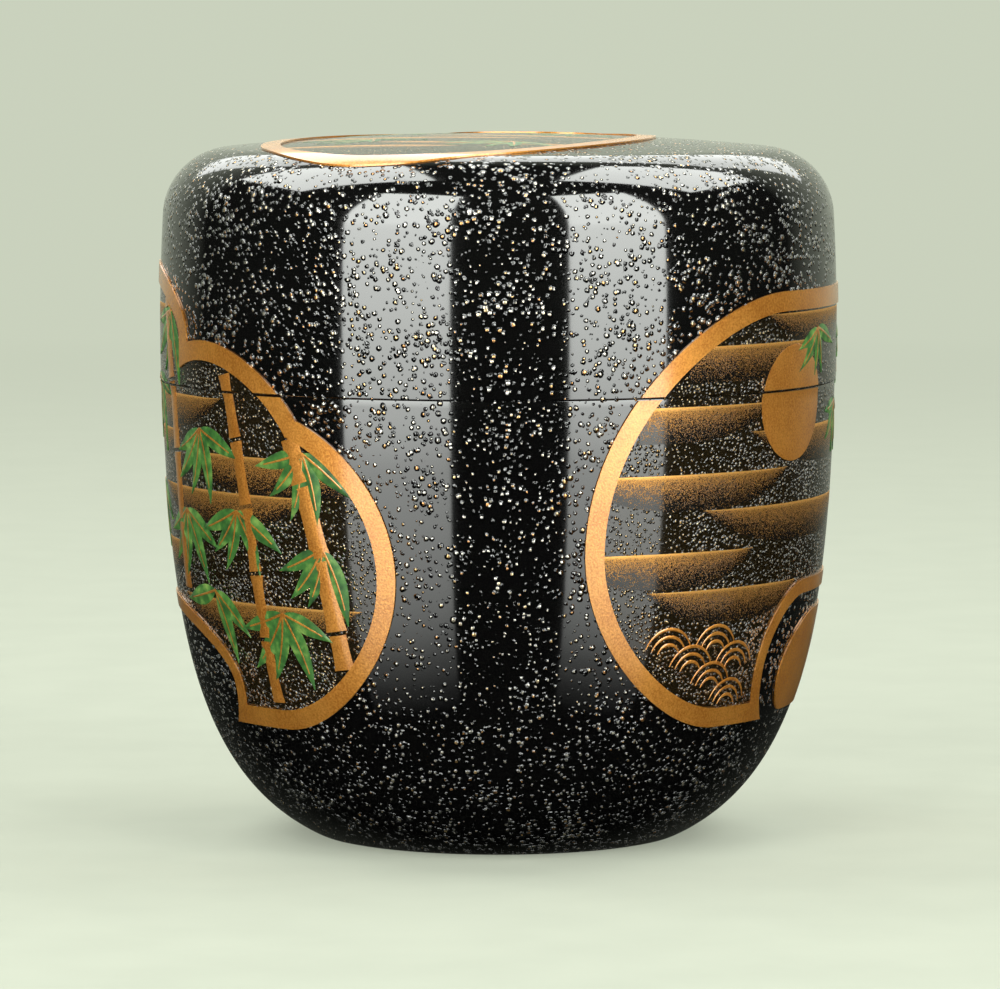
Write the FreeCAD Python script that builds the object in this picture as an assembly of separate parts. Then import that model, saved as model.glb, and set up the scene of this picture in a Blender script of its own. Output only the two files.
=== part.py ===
import FreeCAD, Part
import os
from math import cos, radians, sin, sqrt

from BOPTools import SplitAPI

# Turned and lacquered tea caddy: a cup with a standing collar, a lid that lifts straight off it,
# and gold window borders laid over both and split at the seam.
# Millimetres, +Z up, origin at the middle of the foot, window centres on +X and -X.

# Cup, outside
mouth_radius = 33.0
seam_height = 44.8
mouth_lean_angle = 1.25
mouth_handle = 23.8
foot_radius = 17.7
foot_rise_angle = 24.4
foot_handle = 13.4
mouth_rounding = 0.12
foot_rounding = 0.5
foot_ring_width = 2.6
sole_recess_depth = 0.8

# Cup, inside, and the collar that the lid slides over
collar_wall = 1.3
collar_height = 6.0
collar_rounding = 0.4
floor_thickness = 3.6
floor_flat_inset = 7.7
hollow_corner_wall = 4.9

# Lid
lid_swell = 0.17
lid_side_radius = 200.0
lid_widest_height = 4.9
lid_height = 23.85
shoulder_radius = 6.8
dome_radius = 285.0
lid_wall = 1.6
lid_top_thickness = 2.2
rim_rounding = 0.12
rim_lead_in = 0.4

# Fits
fit_clearance = 0.08
seam_gap = 0.05
gold_bed_gap = 0.02

# Gold borders: widths across the line, and how far they stand up from the lacquer
border_width = 1.9
notch_border_width = 1.4
gold_relief = 0.16

# Round fan window, on the +X side; lengths run along the mouth circle, heights from the seam
round_half_width = 42.6
round_waist_height = -14.3
round_top_height = 9.5
round_sole_height = -32.0
round_notch_half_width = 18.65
round_notch_waist_height = -26.8
round_notch_top_height = -20.0
round_notch_corner = 6.8
round_notch_depth = 6.8

# Gold half-moon in the notch of the round fan
grip_half_width = 14.7
grip_waist_height = -27.6
grip_top_height = -21.9
grip_corner = 9.0
grip_sole_height = -31.5
grip_sole_corner = 3.4

# Lobed fan window, on the -X side: one crown lobe, and two lobes on each hand
crown_half_width = 16.0
crown_spring_height = 4.7
crown_top_height = 11.6
crown_corner = 15.0
upper_lobe_offset = 19.3
upper_lobe_height = -11.0
upper_lobe_radius = 15.75
lower_lobe_offset = 27.3
lower_lobe_height = -16.8
lower_lobe_radius = 15.4
lobed_notch_half_width = 20.1
lobed_notch_waist_height = -28.2
lobed_notch_top_height = -22.1
lobed_notch_corner = 18.0
lobed_notch_depth = 9.0

# Oval fan window on the lid's top, turned about the axis, with its notch at the back;
# margins run from its ends to a circle of the lid's radius round the window's middle
oval_half_width = 18.4
oval_front_margin = 7.17
oval_back_margin = 8.17
oval_corner = 17.8
oval_centre_x = -3.6
oval_centre_y = -2.6
oval_turn_angle = -16.0
oval_notch_half_width = 8.0
oval_notch_reach = 8.0
oval_notch_corner = 6.0

# Worked out from the sizes above
foot_pole_radius = foot_radius + foot_handle * cos(radians(foot_rise_angle))
foot_pole_height = foot_handle * sin(radians(foot_rise_angle))
floor_flat_radius = foot_radius - floor_flat_inset
lid_radius = mouth_radius + lid_swell
oval_front_reach = lid_radius - oval_front_margin
oval_back_reach = lid_radius - oval_back_margin
rim_height = seam_height + seam_gap
total_height = rim_height + lid_height
side_centre_height = rim_height + lid_widest_height
side_centre_radius = lid_radius - lid_side_radius
lid_rim_radius = side_centre_radius + sqrt(lid_side_radius**2 - lid_widest_height**2)
lid_bore_radius = lid_rim_radius - lid_wall
collar_radius = lid_bore_radius - fit_clearance
hollow_radius = collar_radius - collar_wall
collar_top = seam_height + collar_height

AXIS = FreeCAD.Vector(0, 0, 1)
ORIGIN = FreeCAD.Vector(0, 0, 0)
SAME_PLACE = 1e-4


def at(radius, height):
    """A point of a turned profile, in the XZ half plane."""
    return FreeCAD.Vector(radius, 0, height)


def line(start, end):
    return Part.LineSegment(start, end).toShape()


def arc_between(centre, radius, start, end):
    """The short arc of a circle between two of its points."""
    middle = (start + end) * 0.5 - centre
    middle.normalize()
    return Part.Arc(start, centre + middle * radius, end).toShape()


def bezier(*poles):
    curve = Part.BezierCurve()
    curve.setPoles(list(poles))
    return curve


def turned(edges):
    """The solid that a closed profile sweeps round the axis."""
    wire = Part.Wire(Part.__sortEdges__(edges))
    return Part.Face(wire).revolve(ORIGIN, AXIS, 360)


def circles_at(solid, radius, height):
    """The round edges of a turned solid that lie at a radius and a height."""
    found = []
    for edge in solid.Edges:
        if not edge.Degenerated and isinstance(edge.Curve, Part.Circle):
            off_height = abs(edge.Curve.Center.z - height)
            off_radius = abs(edge.Curve.Radius - radius)
            if max(off_height, off_radius) < SAME_PLACE:
                found.append(edge)
    return found


def cup_curve(outward):
    """The cup's side from mouth to foot, moved square to itself by a distance."""
    lean = radians(mouth_lean_angle)
    mouth = at(mouth_radius, seam_height)
    mouth_pole = mouth + at(-sin(lean), -cos(lean)) * mouth_handle
    side = bezier(mouth, mouth_pole, at(foot_pole_radius, foot_pole_height), at(foot_radius, 0))
    if outward == 0:
        return side.toShape()
    steps = 40
    points = []
    for step in range(steps + 1):
        tangent = side.tangent(step / steps)[0]
        points.append(side.value(step / steps) + at(-tangent.z, tangent.x) * outward)
    moved = Part.BSplineCurve()
    moved.interpolate(points)
    return moved.toShape()


def lid_curve(outward):
    """The lid's side, shoulder and dome from rim to axis, moved square to itself by a distance."""
    side_centre = at(side_centre_radius, side_centre_height)
    dome_centre = at(0, total_height - dome_radius)
    to_side = lid_side_radius - shoulder_radius
    to_dome = dome_radius - shoulder_radius
    span = side_centre - dome_centre
    along = (to_dome**2 - to_side**2 + span.Length**2) / (2 * span.Length)
    across = sqrt(to_dome**2 - along**2)
    unit = FreeCAD.Vector(span).normalize()
    shoulder_centre = dome_centre + unit * along + at(unit.z, -unit.x) * across
    to_shoulder = (shoulder_centre - side_centre).normalize()
    side_end = side_centre + to_shoulder * (lid_side_radius + outward)
    to_shoulder = (shoulder_centre - dome_centre).normalize()
    dome_end = dome_centre + to_shoulder * (dome_radius + outward)
    rim_reach = sqrt((lid_side_radius + outward)**2 - lid_widest_height**2)
    rim = at(side_centre_radius + rim_reach, rim_height)
    top = at(0, total_height + outward)
    return [
        arc_between(side_centre, lid_side_radius + outward, rim, side_end),
        arc_between(shoulder_centre, shoulder_radius + outward, side_end, dome_end),
        arc_between(dome_centre, dome_radius + outward, dome_end, top),
    ]


def body_shell():
    """The cup: its turned outside, recessed sole, standing collar and tea hollow."""
    recess_radius = foot_radius - foot_ring_width
    dish_radius = (recess_radius**2 + sole_recess_depth**2) / (2 * sole_recess_depth)
    dish_centre = at(0, sole_recess_depth - dish_radius)
    sole = at(0, sole_recess_depth)
    ring_inside = at(recess_radius, 0)
    ring_outside = at(foot_radius, 0)
    ledge = at(mouth_radius, seam_height)
    throat = at(hollow_radius, seam_height)
    floor = at(floor_flat_radius, floor_thickness)
    floor_pole = at(foot_pole_radius - hollow_corner_wall, floor_thickness)
    hollow = bezier(throat, throat - at(0, mouth_handle), floor_pole, floor)
    cup = turned([
        arc_between(dish_centre, dish_radius, sole, ring_inside),
        line(ring_inside, ring_outside),
        cup_curve(0),
        line(ledge, at(collar_radius, seam_height)),
        line(at(collar_radius, seam_height), at(collar_radius, collar_top)),
        line(at(collar_radius, collar_top), at(hollow_radius, collar_top)),
        line(at(hollow_radius, collar_top), throat),
        hollow.toShape(),
        line(floor, at(0, floor_thickness)),
        line(at(0, floor_thickness), sole),
    ])
    cup = cup.makeFillet(foot_rounding, circles_at(cup, foot_radius, 0))
    cup = cup.makeFillet(mouth_rounding, circles_at(cup, mouth_radius, seam_height))
    cup = cup.makeFillet(collar_rounding, circles_at(cup, collar_radius, collar_top))
    return cup.makeFillet(collar_rounding, circles_at(cup, hollow_radius, collar_top))


def lid_shell():
    """The lid: its turned outside, a straight bore over the collar and a domed hollow."""
    ceiling = total_height - lid_top_thickness
    ceiling_radius = dome_radius - lid_top_thickness
    ceiling_centre = at(0, total_height - dome_radius)
    corner_radius = shoulder_radius - lid_wall
    corner_reach = lid_bore_radius - corner_radius
    corner_lift = sqrt((ceiling_radius - corner_radius)**2 - corner_reach**2)
    corner_centre = ceiling_centre + at(corner_reach, corner_lift)
    corner_foot = corner_centre + at(corner_radius, 0)
    to_corner = (corner_centre - ceiling_centre).normalize()
    corner_end = ceiling_centre + to_corner * ceiling_radius
    bore_rim = at(lid_bore_radius, rim_height)
    lid = turned(lid_curve(0) + [
        line(at(0, total_height), at(0, ceiling)),
        arc_between(ceiling_centre, ceiling_radius, at(0, ceiling), corner_end),
        arc_between(corner_centre, corner_radius, corner_end, corner_foot),
        line(corner_foot, bore_rim),
        line(bore_rim, at(lid_rim_radius, rim_height)),
    ])
    lid = lid.makeFillet(rim_rounding, circles_at(lid, lid_rim_radius, rim_height))
    return lid.makeFillet(rim_lead_in, circles_at(lid, lid_bore_radius, rim_height))


def slab(low, high):
    """A round slab between two heights, wider than the caddy, to cut the gold at the seam."""
    return Part.makeCylinder(2 * lid_radius, high - low, FreeCAD.Vector(0, 0, low))


def body_gold_layer():
    """The thin skin over the cup that its gold is cut from, up to the rounding at the mouth."""
    inside = cup_curve(gold_bed_gap)
    outside = cup_curve(gold_bed_gap + gold_relief)
    skin = turned([
        inside,
        line(inside.Vertexes[0].Point, outside.Vertexes[0].Point),
        outside,
        line(outside.Vertexes[-1].Point, inside.Vertexes[-1].Point),
    ])
    return skin.common(slab(0, seam_height - mouth_rounding))


def lid_gold_layer():
    """The thin skin over the lid that its gold is cut from, down to the rounding at the rim."""
    inside = lid_curve(gold_bed_gap)
    outside = lid_curve(gold_bed_gap + gold_relief)
    skin = turned(inside + outside + [
        line(inside[0].Vertexes[0].Point, outside[0].Vertexes[0].Point),
        line(inside[-1].Vertexes[-1].Point, outside[-1].Vertexes[-1].Point),
    ])
    return skin.common(slab(rim_height + rim_rounding, total_height + lid_height))


def flat(along, height):
    """A point of a window drawn flat: length along the mouth circle, and height from the seam."""
    return FreeCAD.Vector(along, height, 0)


def quarter(side, corner, end):
    """A quarter of an ellipse that starts and ends along its two tangents, which meet at corner."""
    curve = bezier(side, corner, end)
    curve.setWeight(2, sqrt(0.5))
    return curve.toShape()


def rounded_face(half_width, waist, top, top_corner, bottom, bottom_corner, inset=0.0):
    """A flat face with straight top and bottom and four elliptic corners, drawn in all round."""
    wide = half_width - inset
    high = top - inset
    low = bottom + inset
    top_end = half_width - top_corner
    bottom_end = half_width - bottom_corner
    edges = [
        quarter(flat(wide, waist), flat(wide, high), flat(top_end, high)),
        line(flat(top_end, high), flat(-top_end, high)),
        quarter(flat(-wide, waist), flat(-wide, high), flat(-top_end, high)),
        quarter(flat(-wide, waist), flat(-wide, low), flat(-bottom_end, low)),
        line(flat(-bottom_end, low), flat(bottom_end, low)),
        quarter(flat(wide, waist), flat(wide, low), flat(bottom_end, low)),
    ]
    return Part.Face(Part.Wire(Part.__sortEdges__(edges)))


def round_fan(inset):
    """The round fan without its notch, drawn in by a width."""
    return rounded_face(
        round_half_width, round_waist_height,
        round_top_height, round_top_height - round_waist_height,
        round_sole_height, round_waist_height - round_sole_height, inset)


def round_notch(inset):
    return rounded_face(
        round_notch_half_width, round_notch_waist_height,
        round_notch_top_height, round_notch_corner,
        round_notch_waist_height - round_notch_depth, round_notch_corner, inset)


def lobed_fan(inset):
    """The lobed fan without its notch: five lobes and the flat sole between the lowest two."""
    sole = lower_lobe_height - lower_lobe_radius
    crown = rounded_face(
        crown_half_width, crown_spring_height, crown_top_height, crown_corner,
        sole, crown_corner, inset)
    sole_low = sole + inset
    sole_face = Part.makePlane(
        2 * lower_lobe_offset, lower_lobe_height - sole_low, flat(-lower_lobe_offset, sole_low))
    lobes = []
    for hand in (-1, 1):
        for offset, height, radius in (
            (upper_lobe_offset, upper_lobe_height, upper_lobe_radius),
            (lower_lobe_offset, lower_lobe_height, lower_lobe_radius),
        ):
            circle = Part.makeCircle(radius - inset, flat(hand * offset, height))
            lobes.append(Part.Face(Part.Wire(circle)))
    return crown.fuse(lobes + [sole_face]).removeSplitter()


def lobed_notch(inset):
    return rounded_face(
        lobed_notch_half_width, lobed_notch_waist_height,
        lobed_notch_top_height, lobed_notch_corner,
        lobed_notch_waist_height - lobed_notch_depth, lobed_notch_corner, inset)


def oval_fan(inset):
    return rounded_face(
        oval_half_width, 0, oval_back_reach, oval_corner, -oval_front_reach, oval_corner, inset)


def oval_notch(inset):
    return rounded_face(
        oval_notch_half_width, oval_back_reach, oval_back_reach + oval_notch_reach,
        oval_notch_corner, oval_back_reach - oval_notch_reach, oval_notch_corner, inset)


def border(fan, notch):
    """The flat border of a fan window: its outline less the same outline drawn in."""
    outline = fan(0).cut(notch(0))
    opening = fan(border_width).cut(notch(-notch_border_width))
    return outline.cut(opening).removeSplitter().Faces[0]


def wrapped_point(point, radius, window_angle):
    """A flat point wrapped round the axis, at a radius."""
    turn = radians(window_angle) + point.x / mouth_radius
    return FreeCAD.Vector(radius * cos(turn), radius * sin(turn), seam_height + point.y)


def wrapped_rail(edge, radius, window_angle):
    """A flat edge wrapped round the axis, at a radius."""
    steps = 24
    rail = Part.BSplineCurve()
    rail.interpolate([wrapped_point(p, radius, window_angle) for p in edge.discretize(steps + 1)])
    return rail.toShape()


def wrapped(layer, face, window_angle, inner_point):
    """The piece of a gold layer under a flat face wrapped round; inner_point lies in the face."""
    near = mouth_radius - 2 * shoulder_radius
    far = lid_radius + shoulder_radius
    walls = []
    for edge in face.Edges:
        rails = [wrapped_rail(edge, radius, window_angle) for radius in (near, far)]
        walls.append(Part.makeRuledSurface(*rails))
    needle = line(*[wrapped_point(inner_point, radius, window_angle) for radius in (near, far)])
    pieces = SplitAPI.slice(layer, walls, "Split").Solids
    return max(pieces, key=lambda piece: piece.common(needle).Length)


def oval_border(layer):
    """The lid-top border: its flat drawing turned, set in place and dropped onto the dome."""
    prism = border(oval_fan, oval_notch).extrude(AXIS * 2 * total_height)
    prism.rotate(ORIGIN, AXIS, oval_turn_angle)
    prism.translate(FreeCAD.Vector(oval_centre_x, oval_centre_y, 0))
    return layer.common(prism)


def build():
    """Every node of the caddy by its name."""
    cup_layer = body_gold_layer()
    top_layer = lid_gold_layer()
    half_border = border_width / 2
    round_border = border(round_fan, round_notch)
    lobed_border = border(lobed_fan, lobed_notch)
    grip = rounded_face(
        grip_half_width, grip_waist_height, grip_top_height, grip_corner,
        grip_sole_height, grip_sole_corner)
    round_side = flat(round_half_width - half_border, round_waist_height)
    round_top = flat(0, round_top_height - half_border)
    lobed_side = flat(lower_lobe_offset + lower_lobe_radius - half_border, lower_lobe_height)
    lobed_top = flat(0, crown_top_height - half_border)
    grip_middle = flat(0, grip_waist_height)
    return {
        "body_shell": body_shell(),
        "lid_shell": lid_shell(),
        "round_fan_border_body": wrapped(cup_layer, round_border, 0, round_side),
        "round_fan_border_lid": wrapped(top_layer, round_border, 0, round_top),
        "round_fan_grip": wrapped(cup_layer, grip, 0, grip_middle),
        "lobed_fan_border_body": wrapped(cup_layer, lobed_border, 180, lobed_side),
        "lobed_fan_border_lid": wrapped(top_layer, lobed_border, 180, lobed_top),
        "oval_fan_border_top": oval_border(top_layer),
    }


os.makedirs("parts", exist_ok=True)
for name, shape in build().items():
    solid = shape.Solids[0]
    solid.exportStep("parts/" + name + ".step")
    print(name, len(shape.Solids), solid.isValid(), round(solid.Volume, 2))
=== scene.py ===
import math
import random

import bmesh
import bpy
import numpy as np
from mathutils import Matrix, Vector


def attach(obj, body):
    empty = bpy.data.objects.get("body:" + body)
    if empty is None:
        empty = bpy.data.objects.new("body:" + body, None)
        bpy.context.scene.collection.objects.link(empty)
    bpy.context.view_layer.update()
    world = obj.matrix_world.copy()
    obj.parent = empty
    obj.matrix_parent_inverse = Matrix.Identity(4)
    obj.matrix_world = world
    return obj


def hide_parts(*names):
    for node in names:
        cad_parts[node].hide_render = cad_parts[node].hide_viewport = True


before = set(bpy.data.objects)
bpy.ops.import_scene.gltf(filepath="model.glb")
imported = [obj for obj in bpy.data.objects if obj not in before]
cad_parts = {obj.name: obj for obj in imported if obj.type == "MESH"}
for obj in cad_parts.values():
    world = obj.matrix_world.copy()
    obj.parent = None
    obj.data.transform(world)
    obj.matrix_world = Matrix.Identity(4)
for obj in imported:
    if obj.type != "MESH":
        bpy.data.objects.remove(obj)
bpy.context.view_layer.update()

# The fan windows. They are marked out on the polished lacquer before any gold is laid:
# a round fan on the +X side, a lobed fan on the -X side and an oval fan on the lid.
# Side windows are drawn flat, as length along the mouth circle and height above the foot.
MM = 0.001
mouth_radius = 33.0
border_width = 1.9
round_angle = 0.0
round_fan = dict(half_width=42.6, waist=30.5, top=54.3, top_corner=23.8, bottom=12.8, bottom_corner=17.7)
round_notch = dict(half_width=18.65, waist=18.0, top=24.8, top_corner=6.8, bottom=11.2, bottom_corner=6.8)
lobed_angle = math.pi
lobed_crown = dict(half_width=16.0, waist=49.5, top=56.4, top_corner=15.0, bottom=12.6, bottom_corner=15.0)
lobed_notch = dict(half_width=20.1, waist=16.6, top=22.7, top_corner=18.0, bottom=7.6, bottom_corner=18.0)
upper_lobe_centre = (19.3, 33.8)
upper_lobe_radius = 15.75
lower_lobe_centre = (27.3, 28.0)
lower_lobe_radius = 15.4
lobed_sole_height = 12.6
oval_centre = (-3.6, -2.6)
oval_turn = math.radians(-16.0)
oval_fan = dict(half_width=18.4, waist=0.0, top=25.0, top_corner=17.8, bottom=-26.0, bottom_corner=17.8)
oval_notch = dict(half_width=8.0, waist=25.0, top=33.0, top_corner=6.0, bottom=17.0, bottom_corner=6.0)
oval_lowest_height = 64.0


def in_rounded(along, height, inset, half_width, waist, top, top_corner, bottom, bottom_corner):
    """Whether a flat point lies in a shape with straight top and bottom and elliptic corners."""
    along = abs(along)
    upper = height > waist
    limit = top - inset if upper else bottom + inset
    corner = half_width - (top_corner if upper else bottom_corner)
    drop = (height - waist) / (limit - waist)
    if drop > 1:
        return False
    reach = half_width - inset - corner
    return along <= corner + reach * math.sqrt(1 - drop * drop)


def in_round_fan(along, height, inset):
    """Whether a flat point lies in the round fan, clear of its edge by an inset."""
    fan = in_rounded(along, height, inset, **round_fan)
    notch = in_rounded(along, height, -inset, **round_notch)
    return fan and not notch


def in_lobed_fan(along, height, inset):
    """Whether a flat point lies in the lobed fan, clear of its edge by an inset."""
    place = (abs(along), height)
    crown = in_rounded(along, height, inset, **lobed_crown)
    upper_lobe = math.dist(place, upper_lobe_centre) < upper_lobe_radius - inset
    lower_lobe = math.dist(place, lower_lobe_centre) < lower_lobe_radius - inset
    sole = place[0] < lower_lobe_centre[0] and lobed_sole_height + inset < height < lower_lobe_centre[1]
    notch = in_rounded(along, height, -inset, **lobed_notch)
    return (crown or upper_lobe or lower_lobe or sole) and not notch


def in_oval_fan(x, y, inset):
    """Whether a point of the lid's top lies in the oval fan, clear of its edge by an inset."""
    x, y = x - oval_centre[0], y - oval_centre[1]
    across = x * math.cos(oval_turn) + y * math.sin(oval_turn)
    along = y * math.cos(oval_turn) - x * math.sin(oval_turn)
    fan = in_rounded(across, along, inset, **oval_fan)
    notch = in_rounded(across, along, -inset, **oval_notch)
    return fan and not notch


def flat_along(x, y, window_angle):
    """Length along the mouth circle from a window's middle to a point of the side."""
    turn = math.atan2(y, x) - window_angle
    turn = (turn + math.pi) % (2 * math.pi) - math.pi
    return turn * mouth_radius


# The cup. It is turned from one block of seasoned wood with its standing collar, tea hollow
# and dished sole, then coated in thin coats of black lacquer, each rubbed down, and sprinkled
# with silver and gold flakes that stand up as small beads under the last clear coat.
seam_height = 44.8
foot_radius = 17.7
foot_pole = (29.90, 5.54)
mouth_pole = (32.48, 21.01)
foot_edge = [(16.9, 0.0), (17.5, 0.04), (17.95, 0.14)]
foot_edge_height = 0.3
sole_radius = 15.1
sole_depth = 0.8
edge_round = 0.06
collar_radius = 31.43
collar_top = 50.8
collar_round = 0.4
hollow_radius = 30.13
hollow_pole_height = 21.0
floor_pole_radius = 25.0
floor_flat_radius = 10.0
floor_height = 3.6
round_steps = 384
flake_pitch = 0.60
flake_reach = (0.32, 0.58)
flake_patch = 4.0
flake_tones = (
    (0.0, (0.97, 0.92, 0.83)), (0.56, (0.96, 0.85, 0.66)),
    (0.74, (0.94, 0.64, 0.28)), (0.95, (0.86, 0.42, 0.15)))
dust_pitch = 0.36
dust_reach = (0.44, 0.60)
dust_patch = 7.0
dust_tones = ((0.0, (0.84, 0.68, 0.42)), (0.45, (0.78, 0.53, 0.24)), (1.0, (0.62, 0.34, 0.11)))
bead_core = 0.48
raggedness = 0.3
black_ground = (0.0020, 0.0019, 0.0020, 1.0)
window_ground = (0.0100, 0.0066, 0.0028, 1.0)
brush_wave = 6.0
brush_tones = ((0.3, (0.005, 0.005, 0.005)), (0.7, (0.010, 0.008, 0.007)))


def bezier(start, start_pole, end_pole, end, steps):
    """Points of a profile's curve."""
    points = []
    for step in range(steps + 1):
        t = step / steps
        weights = ((1 - t)**3, 3 * t * (1 - t)**2, 3 * t * t * (1 - t), t**3)
        poles = (start, start_pole, end_pole, end)
        points.append(tuple(sum(w * p[k] for w, p in zip(weights, poles)) for k in (0, 1)))
    return points


def arc(centre, radius, start_angle, end_angle, steps):
    """Points of a profile's arc, with angles in degrees from the outward direction."""
    points = []
    for step in range(steps + 1):
        turn = math.radians(start_angle + (end_angle - start_angle) * step / steps)
        points.append((centre[0] + radius * math.cos(turn), centre[1] + radius * math.sin(turn)))
    return points


def turned(name, profile):
    """A turned piece: a profile of radius and height, from axis to axis, swept round."""
    verts, rings = [], []
    for radius, height in profile:
        if radius < 1e-6:
            rings.append([len(verts)] * round_steps)
            verts.append((0.0, 0.0, height * MM))
            continue
        rings.append(list(range(len(verts), len(verts) + round_steps)))
        for step in range(round_steps):
            turn = 2 * math.pi * step / round_steps
            verts.append((radius * math.cos(turn) * MM, radius * math.sin(turn) * MM, height * MM))
    faces, corners = [], []
    lengths = [math.dist(a, b) for a, b in zip(profile, profile[1:])]
    run = [sum(lengths[:k]) / sum(lengths) for k in range(len(profile))]
    for row, (low, high) in enumerate(zip(rings, rings[1:])):
        for step in range(round_steps):
            after = (step + 1) % round_steps
            quad = [
                (low[step], step, row), (low[after], step + 1, row),
                (high[after], step + 1, row + 1), (high[step], step, row + 1)]
            if low[0] == low[1]:
                del quad[1]
            elif high[0] == high[1]:
                del quad[2]
            faces.append([corner[0] for corner in quad])
            corners += [(corner[1] / round_steps, run[corner[2]]) for corner in quad]
    mesh = bpy.data.meshes.new(name)
    mesh.from_pydata(verts, [], faces)
    layer = mesh.uv_layers.new(name="OFBake")
    layer.data.foreach_set("uv", [value for corner in corners for value in corner])
    mesh.shade_smooth()
    mesh.set_sharp_from_angle(angle=math.radians(40))
    piece = bpy.data.objects.new(name, mesh)
    bpy.context.scene.collection.objects.link(piece)
    return piece


def mark_windows(piece):
    """Stores on each point of a shell whether it lies inside a fan window."""
    inset = border_width / 2
    marks = []
    for vertex in piece.data.vertices:
        x, y, height = (value / MM for value in vertex.co)
        side = in_round_fan(flat_along(x, y, round_angle), height, inset)
        side = side or in_lobed_fan(flat_along(x, y, lobed_angle), height, inset)
        top = height > oval_lowest_height and in_oval_fan(x, y, inset)
        marks.append(float(side or top))
    piece.data.attributes.new("window", "FLOAT", "POINT").data.foreach_set("value", marks)


def new_material(name):
    """A node material and its shader."""
    material = bpy.data.materials.new(name)
    material.use_nodes = True
    return material, material.node_tree.nodes["Principled BSDF"]


def feed(material, socket, value):
    """Links a socket to another node's output, or sets its value."""
    if isinstance(value, bpy.types.NodeSocket):
        material.node_tree.links.new(value, socket)
    else:
        socket.default_value = value


def add(material, kind, settings=None, **inputs):
    """A shader node with its settings and its inputs by name."""
    node = material.node_tree.nodes.new("ShaderNode" + kind)
    for key, value in (settings or {}).items():
        setattr(node, key, value)
    for key, value in inputs.items():
        feed(material, node.inputs[key.replace("_", " ")], value)
    return node


def sums(material, operation, first, second=0.5):
    """The result of one sum on two values."""
    node = add(material, "Math", {"operation": operation})
    feed(material, node.inputs[0], first)
    feed(material, node.inputs[1], second)
    return node.outputs[0]


def ranged(material, value, low, high, to_low, to_high):
    """A value carried from one range to another and held at its ends."""
    node = add(
        material, "MapRange", Value=value, From_Min=low, From_Max=high, To_Min=to_low, To_Max=to_high)
    return node.outputs["Result"]


def mixed(material, share, first, second):
    """Two colours mixed by a share."""
    node = add(material, "Mix", {"data_type": "RGBA"})
    feed(material, node.inputs["Factor"], share)
    feed(material, node.inputs["A"], first)
    feed(material, node.inputs["B"], second)
    return node.outputs["Result"]


def ramp(material, value, stops):
    """A colour picked along a row of stops."""
    node = add(material, "ValToRGB", Fac=value)
    elements = node.color_ramp.elements
    while len(elements) < len(stops):
        elements.new(0.5)
    for element, (place, colour) in zip(elements, stops):
        element.position = place
        element.color = (*colour, 1.0)
    return node.outputs["Color"]


def sprinkled(material, pitch, reach, patch_size):
    """Ragged grains of differing size in drifting patches: cover, bead height and a random pick."""
    place = add(material, "TexCoord").outputs["Object"]
    ragged = add(material, "TexNoise", Vector=place, Scale=2 / (pitch * MM), Detail=1.0)
    shifted = add(material, "VectorMath", {"operation": "MULTIPLY_ADD"})
    feed(material, shifted.inputs[0], ragged.outputs["Color"])
    feed(material, shifted.inputs[1], (raggedness * pitch * MM,) * 3)
    feed(material, shifted.inputs[2], place)
    cells = add(material, "TexVoronoi", Vector=shifted.outputs["Vector"], Scale=1 / (pitch * MM))
    picks = add(material, "SeparateColor", Color=cells.outputs["Color"]).outputs
    patches = add(material, "TexNoise", Vector=place, Scale=1 / (patch_size * MM), Detail=2.0)
    drift = ranged(material, patches.outputs["Fac"], 0.35, 0.65, *reach)
    radius = sums(material, "MULTIPLY", drift, ranged(material, picks["Green"], 0, 1, 0.55, 1.15))
    ratio = sums(material, "DIVIDE", cells.outputs["Distance"], radius)
    cover = ranged(material, ratio, bead_core, bead_core * 0.75, 0.0, 1.0)
    fall = sums(material, "SUBTRACT", 1.0, sums(material, "MULTIPLY", ratio, ratio))
    left = sums(material, "MAXIMUM", fall, 0.0)
    bead = sums(material, "MULTIPLY", sums(material, "POWER", left, 0.5), radius)
    return cover, bead, picks["Red"]


def sprinkled_lacquer():
    """Black polished lacquer with raised flakes, and finer gold dust inside the windows."""
    material, shader = new_material("sprinkled_lacquer")
    mark = add(material, "Attribute", {"attribute_name": "window"}).outputs["Fac"]
    window = sums(material, "GREATER_THAN", mark)
    flakes, flake_beads, flake_pick = sprinkled(material, flake_pitch, flake_reach, flake_patch)
    dust, dust_beads, dust_pick = sprinkled(material, dust_pitch, dust_reach, dust_patch)
    flake_colour = ramp(material, flake_pick, flake_tones)
    dust_colour = ramp(material, dust_pick, dust_tones)
    cover = add(material, "Mix", Factor=window, A=flakes, B=dust).outputs["Result"]
    beads = add(material, "Mix", Factor=window, A=flake_beads, B=dust_beads).outputs["Result"]
    grains = mixed(material, window, flake_colour, dust_colour)
    ground = mixed(material, window, black_ground, window_ground)
    feed(material, shader.inputs["Base Color"], mixed(material, cover, ground, grains))
    feed(material, shader.inputs["Metallic"], cover)
    feed(material, shader.inputs["Roughness"], ranged(material, cover, 0, 1, 0.07, 0.28))
    bump = add(material, "Bump", Height=beads, Distance=flake_pitch * MM, Strength=1.0)
    feed(material, shader.inputs["Normal"], bump.outputs["Normal"])
    feed(material, shader.inputs["IOR"], 2.0)
    return material


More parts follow.
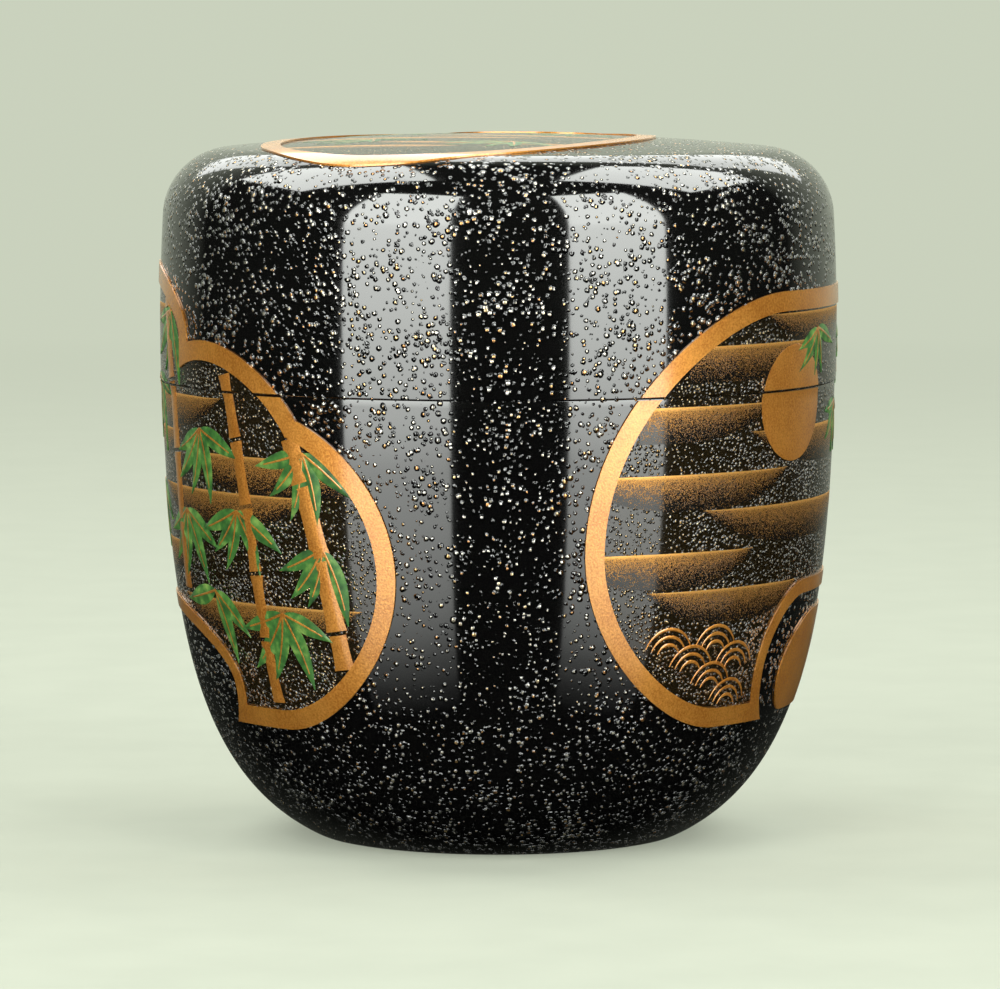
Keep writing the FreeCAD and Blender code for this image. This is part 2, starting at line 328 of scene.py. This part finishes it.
def plain_lacquer():
    """Black lacquer of the hollow, collar and sole, polished, with faint brush waves."""
    material, shader = new_material("plain_lacquer")
    place = add(material, "TexCoord").outputs["Object"]
    waves = add(material, "TexNoise", Vector=place, Scale=1 / (brush_wave * MM), Detail=3.0).outputs["Fac"]
    feed(material, shader.inputs["Base Color"], ramp(material, waves, brush_tones))
    feed(material, shader.inputs["Roughness"], ranged(material, waves, 0.3, 0.7, 0.10, 0.18))
    bump = add(material, "Bump", Height=waves, Distance=0.02 * MM, Strength=0.3)
    feed(material, shader.inputs["Normal"], bump.outputs["Normal"])
    feed(material, shader.inputs["IOR"], 1.7)
    return material


def coat(piece, first_row, last_row):
    """Sprinkled lacquer on the rows of the outside, plain lacquer on the rest."""
    piece.data.materials.append(outside_lacquer)
    piece.data.materials.append(inside_lacquer)
    for index, face in enumerate(piece.data.polygons):
        row = index // round_steps
        face.material_index = 0 if first_row <= row < last_row else 1


outside_lacquer = sprinkled_lacquer()
inside_lacquer = plain_lacquer()
sole = [(sole_radius * step / 8, sole_depth * (1 - (step / 8)**2)) for step in range(9)]
cup_side = bezier((foot_radius, 0.0), foot_pole, mouth_pole, (mouth_radius, seam_height), 104)
cup_side = [point for point in cup_side if foot_edge_height < point[1] < seam_height - edge_round]
mouth_edge = arc((mouth_radius - edge_round, seam_height - edge_round), edge_round, 0, 90, 4)
collar = [(collar_radius, seam_height)]
collar += arc((collar_radius - collar_round, collar_top - collar_round), collar_round, 0, 90, 4)
collar += arc((hollow_radius + collar_round, collar_top - collar_round), collar_round, 90, 180, 4)
hollow = bezier(
    (hollow_radius, seam_height), (hollow_radius, hollow_pole_height),
    (floor_pole_radius, floor_height), (floor_flat_radius, floor_height), 40)
cup_outside = sole + foot_edge + cup_side + mouth_edge
cup = turned("cup", cup_outside + collar + hollow + [(0.0, floor_height)])
mark_windows(cup)
coat(cup, len(sole), len(cup_outside) - 1)
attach(cup, "body")
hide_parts("body_shell")

# The lid. Turned from the same wood as the cup, with a straight bore that slides over the
# collar, a rounded shoulder and a nearly flat top, and coated and sprinkled like the cup.
rim_height = 44.85
total_height = 68.7
side_centre = (-166.83, 49.75)
side_radius = 200.0
shoulder_radius = 6.8
dome_radius = 285.0
dome_centre = (0.0, total_height - dome_radius)
rim_angle = math.degrees(math.asin((rim_height + edge_round - side_centre[1]) / side_radius))
rim_row = 0.02
bore_radius = 31.51
bore_lead_in = 0.4
inner_corner = 5.2
ceiling = total_height - 2.2
ceiling_edge = ceiling - 1.21

to_side = side_radius - shoulder_radius
to_dome = dome_radius - shoulder_radius
span = math.dist(side_centre, dome_centre)
along_span = (to_dome**2 - to_side**2 + span**2) / (2 * span)
across_span = math.sqrt(to_dome**2 - along_span**2)
span_x = (side_centre[0] - dome_centre[0]) / span
span_z = (side_centre[1] - dome_centre[1]) / span
shoulder_centre = (
    dome_centre[0] + span_x * along_span + span_z * across_span,
    dome_centre[1] + span_z * along_span - span_x * across_span)


def angle_to_shoulder(centre):
    """Angle in degrees at which an arc round a centre meets the shoulder."""
    return math.degrees(math.atan2(shoulder_centre[1] - centre[1], shoulder_centre[0] - centre[0]))


side_end = angle_to_shoulder(side_centre)
dome_start = angle_to_shoulder(dome_centre)
rim_radius = side_centre[0] + side_radius * math.cos(math.radians(rim_angle))
rim_edge = [
    (rim_radius - edge_round * 0.9, rim_height), (rim_radius - edge_round * 0.3, rim_height + 0.035)]
lid_side = arc(side_centre, side_radius, rim_angle, rim_angle + rim_row, 1)
lid_side += arc(side_centre, side_radius, rim_angle + rim_row, side_end, 36)[1:]
lid_shoulder = arc(shoulder_centre, shoulder_radius, side_end, dome_start, 26)[1:]
lid_dome = arc(dome_centre, dome_radius, dome_start, 90, 48)[1:-1]
lid_inside = [(0.0, ceiling), (13.0, ceiling - 0.3), (26.0, ceiling - 1.2)]
lid_inside += arc((bore_radius - inner_corner, ceiling_edge - inner_corner), inner_corner, 88, 0, 10)
lid_inside += [(bore_radius, rim_height + bore_lead_in)]
lid_inside += arc((bore_radius + bore_lead_in, rim_height + bore_lead_in), bore_lead_in, 180, 270, 4)[1:]
lid_profile = lid_inside + rim_edge + lid_side + lid_shoulder + lid_dome + [(0.0, total_height)]
lid = turned("lid", lid_profile)
mark_windows(lid)
coat(lid, len(lid_inside), len(lid_profile))
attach(lid, "lid")
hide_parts("lid_shell")

# The gold borders and the half-moon grip. Lacquer is built up in the border's outline, gold
# powder is dusted on while it is tacky, and the powder is sealed and burnished to a satin.
border_grain = 0.20
cloud_size = 3.5


def gold_powder(name, deep, bright, grain):
    """Burnished gold powder: fine grain in colour, gloss and relief, under a clear coat."""
    material, shader = new_material(name)
    place = add(material, "TexCoord").outputs["Object"]
    grains = add(material, "TexNoise", Vector=place, Scale=1 / (grain * MM), Detail=2.0).outputs["Fac"]
    clouds = add(material, "TexNoise", Vector=place, Scale=1 / (cloud_size * MM), Detail=2.0).outputs["Fac"]
    grain_share = sums(material, "MULTIPLY", grains, 0.65)
    tone = sums(material, "ADD", grain_share, sums(material, "MULTIPLY", clouds, 0.35))
    feed(material, shader.inputs["Base Color"], ramp(material, tone, ((0.36, deep), (0.62, bright))))
    feed(material, shader.inputs["Roughness"], ranged(material, grains, 0.3, 0.7, 0.34, 0.50))
    feed(material, shader.inputs["Metallic"], 0.7)
    feed(material, shader.inputs["Coat Weight"], 1.0)
    feed(material, shader.inputs["Coat Roughness"], 0.16)
    feed(material, shader.inputs["Coat IOR"], 1.8)
    bump = add(material, "Bump", Height=grains, Distance=0.05 * MM, Strength=0.7)
    feed(material, shader.inputs["Normal"], bump.outputs["Normal"])
    return material


# The orange of this gold is partly the powder's own colour and partly painted reflection: its base colour
# is pushed towards red-orange to stand in for a dark red-brown surround reflected in the gold.
border_gold = gold_powder("border_gold", (0.55, 0.185, 0.018), (0.81, 0.355, 0.062), border_grain)
gold_nodes = [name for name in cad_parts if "border" in name or "grip" in name]
for name in gold_nodes:
    node_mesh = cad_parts[name].data
    node_mesh.materials.clear()
    node_mesh.materials.append(border_gold)

# The bamboo in the lobed window. Stalks are drawn in built-up lacquer joint by joint, dusted
# with gold powder and burnished, so they stand up from the ground between the gold borders.
relief_back = 0.05
relief_grain = 0.18
seam_margin = 0.1
joint_gap = 0.2
stalk_bow = 1.2
stalk_lifts = (0.02, 0.11)
side_heights = [height for radius, height in cup_side + lid_side]
side_radii = [radius for radius, height in cup_side + lid_side]


def on_side(window_angle):
    """Sets flat window points on the caddy's side, lifted off the lacquer."""
    def place(along, height, lift):
        turn = window_angle + along / mouth_radius
        radius = float(np.interp(height, side_heights, side_radii)) + lift
        return (radius * math.cos(turn) * MM, radius * math.sin(turn) * MM, height * MM)
    return place


def stroke(path, widths, lifts, across=4):
    """A raised stroke along a flat path: rows of points across it, highest along its middle."""
    edge_lift, crown_lift = lifts
    rows = []
    for k, (along, height) in enumerate(path):
        before, after = path[max(k - 1, 0)], path[min(k + 1, len(path) - 1)]
        run, rise = after[0] - before[0], after[1] - before[1]
        length = math.hypot(run, rise)
        row = []
        for step in range(across + 1):
            t = 2 * step / across - 1
            reach = t * widths[k]
            lift = edge_lift + (crown_lift - edge_lift) * (1 - t * t)
            row.append((along - rise / length * reach, height + run / length * reach, lift, (t + 1) / 2))
        rows.append(row)
    return rows


def piece_from(name, mesh, body, material):
    """Makes a relief piece from its sheet, with a back sunk into the lacquer, on its body."""
    for edge in mesh.edges:
        edge.smooth = not edge.is_boundary
    data = bpy.data.meshes.new(name)
    mesh.to_mesh(data)
    mesh.free()
    data.materials.append(material)
    piece = bpy.data.objects.new(name, data)
    bpy.context.scene.collection.objects.link(piece)
    back = piece.modifiers.new("back", "SOLIDIFY")
    back.thickness = relief_back * MM
    back.offset = -1.0
    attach(piece, body)


def lay(name, strokes, place, material):
    """Lays strokes on the caddy as one piece on the cup and one on the lid, parted at the seam."""
    sheet = bmesh.new()
    fade = sheet.verts.layers.float.new("fade")
    for rows in strokes:
        grid = []
        for row in rows:
            grid.append([sheet.verts.new(place(*point[:3])) for point in row])
            for vertex, point in zip(grid[-1], row):
                vertex[fade] = point[3]
        for low, high in zip(grid, grid[1:]):
            for k in range(len(low) - 1):
                face = sheet.faces.new((low[k], high[k], high[k + 1], low[k + 1]))
                face.smooth = True
    partings = (("body", seam_height - seam_margin, True), ("lid", rim_height + seam_margin, False))
    for body, parting, below in partings:
        half = sheet.copy()
        everything = half.verts[:] + half.edges[:] + half.faces[:]
        bmesh.ops.bisect_plane(
            half, geom=everything, plane_co=(0, 0, parting * MM), plane_no=(0, 0, 1),
            clear_outer=below, clear_inner=not below)
        if half.faces:
            piece_from(name + "_" + body, half, body, material)
        else:
            half.free()
    sheet.free()


def inside_run(path, inside, inset):
    """The first unbroken stretch of a path that lies inside a window."""
    kept = []
    for point in path:
        if inside(*point, inset):
            kept.append(point)
        elif kept:
            break
    return kept


def bamboo_stalk(foot, top, half_width, joint_length):
    """The joints of one stalk from foot to top, each a little wider at its ends."""
    length = math.dist(foot, top)
    joints = []
    begin = 0.0
    while begin < length - 2.0:
        end = min(begin + joint_length, length)
        path, widths = [], []
        for step in range(9):
            t = step / 8
            share = (begin + joint_gap + (end - begin - 2 * joint_gap) * t) / length
            bow = stalk_bow * math.sin(math.pi * share)
            along = foot[0] + (top[0] - foot[0]) * share + bow
            path.append((along, foot[1] + (top[1] - foot[1]) * share))
            widths.append(half_width * (0.86 + 0.2 * (2 * t - 1)**4))
        path = inside_run(path, in_lobed_fan, border_width)
        if len(path) > 2:
            joints.append(stroke(path, widths[:len(path)], stalk_lifts))
        begin = end
    return joints


# Like the border gold, the orange of this gold is partly the powder's own colour and partly a painted
# reddish reflection of a dark red-brown surround.
relief_gold = gold_powder("relief_gold", (0.52, 0.170, 0.017), (0.79, 0.340, 0.060), relief_grain)
on_lobed = on_side(lobed_angle)
stalks = []
for foot, top, half_width, joint_length in (
    ((37.0, 15.5), (29.0, 48.0), 1.15, 7.2), ((27.0, 15.0), (22.0, 50.0), 0.85, 6.4),
    ((12.0, 25.0), (9.0, 55.0), 1.0, 6.8), ((-9.0, 25.0), (-5.0, 55.0), 0.8, 6.2),
    ((-27.0, 15.0), (-20.0, 50.0), 1.1, 7.0), ((-36.0, 16.0), (-31.0, 44.0), 0.8, 6.0),
):
    stalks += bamboo_stalk(foot, top, half_width, joint_length)
lay("bamboo_stalks", stalks, on_lobed, relief_gold)

# The bamboo leaves. Each leaf is laid in green lacquer as a low ridge, and its midrib is
# drawn over it in gold with a fine brush.
leaf_slimness = 0.135
leaf_lifts = (0.02, 0.09)
midrib_half_width = 0.13
midrib_lifts = (0.09, 0.115)
mottle_size = 1.1
leaf_tones = ((0.30, (0.010, 0.048, 0.010)), (0.52, (0.040, 0.135, 0.024)), (0.74, (0.16, 0.27, 0.060)))
random.seed(7)


def leaf(root, angle, length, half_width):
    """A leaf's blade and its midrib, from root to tip."""
    blade, blade_widths, rib, rib_widths = [], [], [], []
    for step in range(11):
        t = step / 10
        turn = angle + 0.25 * math.sin(angle) * t
        point = (root[0] + math.cos(turn) * length * t, root[1] + math.sin(turn) * length * t)
        blade.append(point)
        blade_widths.append(half_width * max(0.04, math.sin(math.pi * t**0.75)))
        if t < 0.85:
            rib.append(point)
            rib_widths.append(midrib_half_width * (1 - 0.6 * t))
    return blade, blade_widths, rib, rib_widths


def leaf_sprays(roots, inside, count, length):
    """Sprays of leaves that hang and fan out from their roots, kept inside a window."""
    blades, ribs = [], []
    for root in roots:
        for k in range(count):
            angle = math.radians(-158 + 136 * k / (count - 1) + random.uniform(-9, 9))
            size = length * random.uniform(0.8, 1.12)
            blade, blade_widths, rib, rib_widths = leaf(root, angle, size, leaf_slimness * size)
            if all(inside(*point, border_width) for point in blade):
                blades.append(stroke(blade, blade_widths, leaf_lifts))
                ribs.append(stroke(rib, rib_widths, midrib_lifts, 2))
    return blades, ribs


def green_lacquer():
    """Green lacquer of the leaves, mottled from deep to bright, with a soft gloss."""
    material, shader = new_material("green_lacquer")
    place = add(material, "TexCoord").outputs["Object"]
    noise = add(material, "TexNoise", Vector=place, Scale=1 / (mottle_size * MM), Detail=4.0)
    mottle = noise.outputs["Fac"]
    feed(material, shader.inputs["Base Color"], ramp(material, mottle, leaf_tones))
    feed(material, shader.inputs["Roughness"], ranged(material, mottle, 0.3, 0.7, 0.42, 0.30))
    bump = add(material, "Bump", Height=mottle, Distance=0.03 * MM, Strength=0.4)
    feed(material, shader.inputs["Normal"], bump.outputs["Normal"])
    return material


leaf_green = green_lacquer()
lobed_roots = (
    (33.0, 39.5), (27.5, 46.0), (35.0, 30.5), (24.0, 33.5), (29.5, 24.0), (18.0, 41.0),
    (14.0, 33.0), (19.0, 25.5), (11.0, 52.0), (5.0, 45.5), (2.0, 35.0), (-8.0, 51.0),
    (-11.0, 41.0), (-17.0, 33.5), (-24.0, 41.0), (-30.0, 34.0), (-24.0, 25.0), (-35.0, 26.0))
blades, ribs = leaf_sprays(lobed_roots, in_lobed_fan, 5, 7.2)
lay("bamboo_leaves", blades, on_lobed, leaf_green)
lay("leaf_midribs", ribs, on_lobed, relief_gold)

# The mist bands in the two side windows. Brown-gold powder is sprinkled thickly along a band's
# upper edge and thinned out downward until only black lacquer is left.
mist_lifts = (0.004, 0.012)
mist_grain = 0.06
mist_tones = ((0.0, (0.32, 0.125, 0.020)), (1.0, (0.66, 0.32, 0.072)))
mist_edge_gold = (0.92, 0.47, 0.12, 1.0)
mist_ground = (0.006, 0.005, 0.004, 1.0)


def mist_band(along, height, half_length, half_height, inside):
    """One band with a level upper edge and pointed ends, as far as it lies inside its window."""
    path, widths = [], []
    for step in range(61):
        t = 2 * step / 60 - 1
        half_width = half_height * max(1 - abs(t)**3, 0.02)
        point = (along + half_length * t, height + half_height - half_width)
        if inside(point[0], height + half_height * 0.5, border_width * 0.6):
            path.append(point)
            widths.append(half_width)
    return stroke(path, widths, mist_lifts, 8)


def mist_powder():
    """Gold powder that thins out over black lacquer, from a band's upper edge to its lower."""
    material, shader = new_material("mist_powder")
    place = add(material, "TexCoord").outputs["Object"]
    fade = add(material, "Attribute", {"attribute_name": "fade"}).outputs["Fac"]
    cells = add(material, "TexVoronoi", Vector=place, Scale=1 / (mist_grain * MM))
    picks = add(material, "SeparateColor", Color=cells.outputs["Color"]).outputs
    thick = sums(material, "POWER", fade, 1.7)
    cover = ranged(material, sums(material, "SUBTRACT", thick, picks["Red"]), -0.12, 0.06, 0.0, 1.0)
    dusted = ramp(material, picks["Green"], mist_tones)
    edge = ranged(material, fade, 0.88, 0.98, 0.0, 1.0)
    powder = mixed(material, edge, dusted, mist_edge_gold)
    feed(material, shader.inputs["Base Color"], mixed(material, cover, mist_ground, powder))
    feed(material, shader.inputs["Metallic"], sums(material, "MULTIPLY", cover, 0.75))
    feed(material, shader.inputs["Roughness"], ranged(material, cover, 0, 1, 0.10, 0.42))
    bump = add(material, "Bump", Height=cover, Distance=0.02 * MM, Strength=0.5)
    feed(material, shader.inputs["Normal"], bump.outputs["Normal"])
    feed(material, shader.inputs["IOR"], 1.7)
    return material


gold_mist = mist_powder()
on_round = on_side(round_angle)
lobed_mist = [mist_band(*band, in_lobed_fan) for band in (
    (30.0, 37.0, 16.0, 1.8), (20.0, 33.6, 14.0, 1.6), (8.0, 42.4, 14.0, 1.7), (1.0, 39.0, 12.0, 1.6),
    (8.0, 51.0, 10.0, 1.5), (25.0, 23.0, 14.0, 1.7), (3.0, 28.0, 11.0, 1.7), (-7.0, 49.0, 10.0, 1.5),
    (-22.0, 40.4, 15.0, 1.7), (-13.0, 36.8, 12.0, 1.6), (-30.0, 28.0, 14.0, 1.8), (-21.0, 24.6, 10.0, 1.5))]
lay("lobed_mist", lobed_mist, on_lobed, gold_mist)
round_mist = [mist_band(*band, in_round_fan) for band in (
    (-28.0, 47.8, 17.0, 1.7), (-10.0, 50.8, 12.0, 1.4), (-35.0, 42.2, 14.0, 1.7), (-7.0, 39.4, 17.0, 1.8),
    (-31.0, 35.8, 13.0, 1.7), (-14.0, 32.2, 16.0, 1.8), (-34.0, 28.4, 11.0, 1.7), (-25.0, 24.8, 11.0, 1.6),
    (14.0, 47.6, 15.0, 1.7), (29.0, 42.4, 15.0, 1.7), (16.0, 38.4, 14.0, 1.7), (32.0, 34.6, 12.0, 1.7),
    (17.0, 31.2, 12.0, 1.6), (33.0, 27.6, 11.0, 1.6), (25.0, 24.2, 10.0, 1.5))]
lay("round_mist", round_mist, on_round, gold_mist)

# The moon, the waves and the leaves in the round window. The moon is a low disc of gold powder,
# half sunk in the mist. The waves are nested arcs, an old pattern, drawn in thin gold lines, and
# the leaves are laid like those of the bamboo.
moon_centre = (-17.0, 43.6)
moon_radius = 5.6
moon_lifts = (0.03, 0.06)
wave_radii = (2.85, 2.1, 1.35)
wave_heights = (14.6, 16.4, 18.2, 20.0)
wave_spacing = 6.0
wave_lifts = (0.02, 0.09)


def moon(centre, radius):
    """A low disc, as one stroke whose width follows the circle."""
    path, widths = [], []
    for step in range(33):
        t = math.cos(math.pi * step / 32)
        path.append((centre[0], centre[1] + radius * t))
        widths.append(max(radius * math.sqrt(1 - t * t), 0.02))
    return stroke(path, widths, moon_lifts, 16)


def wave(centre, radius):
    """One arc of a wave, thickest at its top."""
    path = arc(centre, radius, 20, 160, 16)
    widths = [0.05 + 0.11 * math.sin(math.pi * k / 16) for k in range(17)]
    return stroke(path, widths, wave_lifts, 2)


lay("moon", [moon(moon_centre, moon_radius)], on_round, relief_gold)
waves = []
for row, height in enumerate(wave_heights):
    for place_in_row in range(-8, 9):
        centre = (wave_spacing * (place_in_row + 0.5 * (row % 2)), height)
        for radius in wave_radii:
            path = arc(centre, radius, 20, 160, 6)
            if all(in_round_fan(*point, border_width) for point in path):
                waves.append(wave(centre, radius))
lay("waves", waves, on_round, relief_gold)
round_roots = ((-4.0, 43.0), (2.0, 50.0), (8.0, 43.0), (-12.0, 50.5))
blades, ribs = leaf_sprays(round_roots, in_round_fan, 5, 5.4)
lay("round_window_leaves", blades, on_round, leaf_green)
lay("round_window_midribs", ribs, on_round, relief_gold)

# The picture in the oval window on the lid: mist bands and four sprays of leaves, made like
# those on the side but in lower relief, and nowhere higher than the middle of the lid.
top_relief = 0.3


def on_top(across, along, lift):
    """Sets a flat point of the oval window on the lid's dome."""
    x = oval_centre[0] + across * math.cos(oval_turn) - along * math.sin(oval_turn)
    y = oval_centre[1] + across * math.sin(oval_turn) + along * math.cos(oval_turn)
    z = dome_centre[1] + math.sqrt((dome_radius + top_relief * lift)**2 - x * x - y * y)
    return (x * MM, y * MM, min(z, total_height) * MM)


def in_oval_drawing(across, along, inset):
    """Whether a point of the oval's own drawing lies inside its window."""
    x, y, z = on_top(across, along, 0.0)
    return in_oval_fan(x / MM, y / MM, inset)


top_mist = [mist_band(*band, in_oval_drawing) for band in (
    (-5.0, -16.0, 10.0, 1.6), (5.0, -12.0, 11.0, 1.6), (-4.0, -5.5, 14.0, 1.7), (7.0, -1.0, 12.0, 1.6),
    (-5.0, 6.0, 13.0, 1.7), (5.0, 10.5, 10.0, 1.6))]
lay("top_mist", top_mist, on_top, gold_mist)
top_roots = ((-7.0, -6.0), (8.0, -9.0), (-8.0, 9.0), (9.0, 8.0))
blades, ribs = leaf_sprays(top_roots, in_oval_drawing, 5, 6.4)
lay("top_leaves", blades, on_top, leaf_green)
lay("top_midribs", ribs, on_top, relief_gold)

# The pale floor, the pale backdrop and the soft lights: a tall panel each side of the camera,
# one each side overhead and one high behind. They belong to the studio and not to the caddy.
backdrop_colour = (0.59, 0.64, 0.51, 1.0)
paper_tones = ((0.35, (0.47, 0.495, 0.415)), (0.65, (0.50, 0.525, 0.44)))
light_colour = (0.97, 1.0, 0.955, 1.0)
floor_corners = [(-4, -3, 0), (4, -3, 0), (4, 6, 0), (-4, 6, 0)]
floor_drop = 0.00002
panel_distance = 0.55
panel_low, panel_high = -0.40, 0.72
panel_stops = (
    (-0.40, 0.0), (-0.32, 0.13), (-0.25, 0.42), (-0.16, 1.25), (-0.085, 1.8), (-0.045, 2.2),
    (-0.022, 3.4), (0.06, 4.8), (0.14, 6.4))
overhead = 0.8
overhead_corners = ((0.17, -0.11), (0.85, -0.06), (0.85, 0.62), (0.17, 0.40))
overhead_stops = ((0.0, 0.0), (0.5, 5.4))
rear_distance = 0.75
rear_half_width = 0.5
rear_low, rear_high = 0.36, 0.95
rear_stops = ((0.0, 0.0), (0.3, 3.0))

floor_mesh = bpy.data.meshes.new("floor")
floor_mesh.from_pydata(floor_corners, [], [(0, 1, 2, 3)])
floor = bpy.data.objects.new("floor", floor_mesh)
floor.location.z = -floor_drop
floor.visible_glossy = False
bpy.context.scene.collection.objects.link(floor)
paper = bpy.data.materials.new("floor_paper")
paper.use_nodes = True
paper.node_tree.nodes.clear()
paper_place = add(paper, "TexCoord").outputs["Object"]
fibre = add(paper, "TexNoise", Vector=paper_place, Scale=90.0, Detail=4.0)
lit_paper = add(paper, "BsdfDiffuse", Color=ramp(paper, fibre.outputs["Fac"], paper_tones))
even_paper = add(paper, "Emission", Color=backdrop_colour, Strength=1.0)
seen = add(paper, "LightPath").outputs["Is Camera Ray"]
reach = add(paper, "VectorMath", {"operation": "LENGTH"}, Vector=paper_place)
evenness = ranged(paper, reach.outputs["Value"], 0.06, 0.80, 0.45, 1.0)
paper_mix = add(paper, "MixShader")
feed(paper, paper_mix.inputs[0], sums(paper, "MULTIPLY", seen, evenness))
feed(paper, paper_mix.inputs[1], lit_paper.outputs[0])
feed(paper, paper_mix.inputs[2], even_paper.outputs[0])
feed(paper, add(paper, "OutputMaterial").inputs["Surface"], paper_mix.outputs[0])
floor_mesh.materials.append(paper)


def soft_panel(name, corners, strength_stops):
    """A soft light through four corners, whose strength follows its height in metres."""
    mesh = bpy.data.meshes.new(name)
    mesh.from_pydata(corners, [], [(0, 1, 2, 3)])
    panel = bpy.data.objects.new(name, mesh)
    panel.visible_camera = False
    bpy.context.scene.collection.objects.link(panel)
    material = bpy.data.materials.new(name)
    material.use_nodes = True
    material.node_tree.nodes.clear()
    height = add(material, "SeparateXYZ", Vector=add(material, "TexCoord").outputs["Object"]).outputs["Z"]
    strength = 0.0
    for (low, weak), (high, strong) in zip(strength_stops, strength_stops[1:]):
        strength = sums(material, "ADD", ranged(material, height, low, high, 0.0, strong - weak), strength)
    light = add(material, "Emission", Color=light_colour, Strength=strength)
    feed(material, add(material, "OutputMaterial").inputs["Surface"], light.outputs[0])
    mesh.materials.append(material)


def upright(left, right, low, high):
    """Corners of an upright panel between two places on the floor."""
    return [(*left, low), (*right, low), (*right, high), (*left, high)]


for name, from_angle, to_angle in (("left_soft_light", -50.5, -14.0), ("right_soft_light", 24.5, 58.0)):
    feet = []
    for angle in (from_angle, to_angle):
        turn = math.radians(angle)
        feet.append((panel_distance * math.sin(turn), -panel_distance * math.cos(turn)))
    soft_panel(name, upright(*feet, panel_low, panel_high), panel_stops)
for name, side in (("left_overhead_light", -1), ("right_overhead_light", 1)):
    soft_panel(name, [(side * x, y, overhead) for x, y in overhead_corners], overhead_stops)
rear_feet = ((rear_half_width, rear_distance), (-rear_half_width, rear_distance))
soft_panel("rear_soft_light", upright(*rear_feet, rear_low, rear_high), rear_stops)

world = bpy.data.worlds.new("studio")
bpy.context.scene.world = world
world.use_nodes = True
world.node_tree.nodes.clear()
direction = add(world, "SeparateXYZ", Vector=add(world, "TexCoord").outputs["Generated"]).outputs
behind = ranged(world, direction["Y"], 0.45, 0.92, 0.025, 1.0)
above = ranged(world, direction["Z"], -0.16, 0.0, 0.05, 1.0)
backdrop = sums(world, "MULTIPLY", behind, above)
seen = add(world, "LightPath").outputs["Is Camera Ray"]
strength = add(world, "Mix", Factor=seen, A=backdrop, B=1.0).outputs["Result"]
sky = add(world, "Background", Color=backdrop_colour, Strength=strength)
feed(world, add(world, "OutputWorld").inputs["Surface"], sky.outputs[0])

# The camera stands in front of the caddy, a little to the round fan's side, and looks down on
# it slightly through a long lens.
camera_distance = 0.597
camera_pitch = math.radians(5.0)
camera_azimuth = math.radians(1.55)
camera_target = Vector((0.0, 0.0, 0.03325))
camera = bpy.data.cameras.new("camera")
camera.lens = 218.3
camera.sensor_width = 36.0
camera.shift_x = 0.0016
camera.clip_start = 0.01
viewpoint = bpy.data.objects.new("camera", camera)
backward = Vector((
    math.cos(camera_pitch) * math.sin(camera_azimuth),
    -math.cos(camera_pitch) * math.cos(camera_azimuth),
    math.sin(camera_pitch)))
viewpoint.location = camera_target + backward * camera_distance
viewpoint.rotation_euler = backward.to_track_quat("Z", "Y").to_euler()
bpy.context.scene.collection.objects.link(viewpoint)
bpy.context.scene.camera = viewpoint
bpy.context.scene.view_settings.view_transform = "Standard"
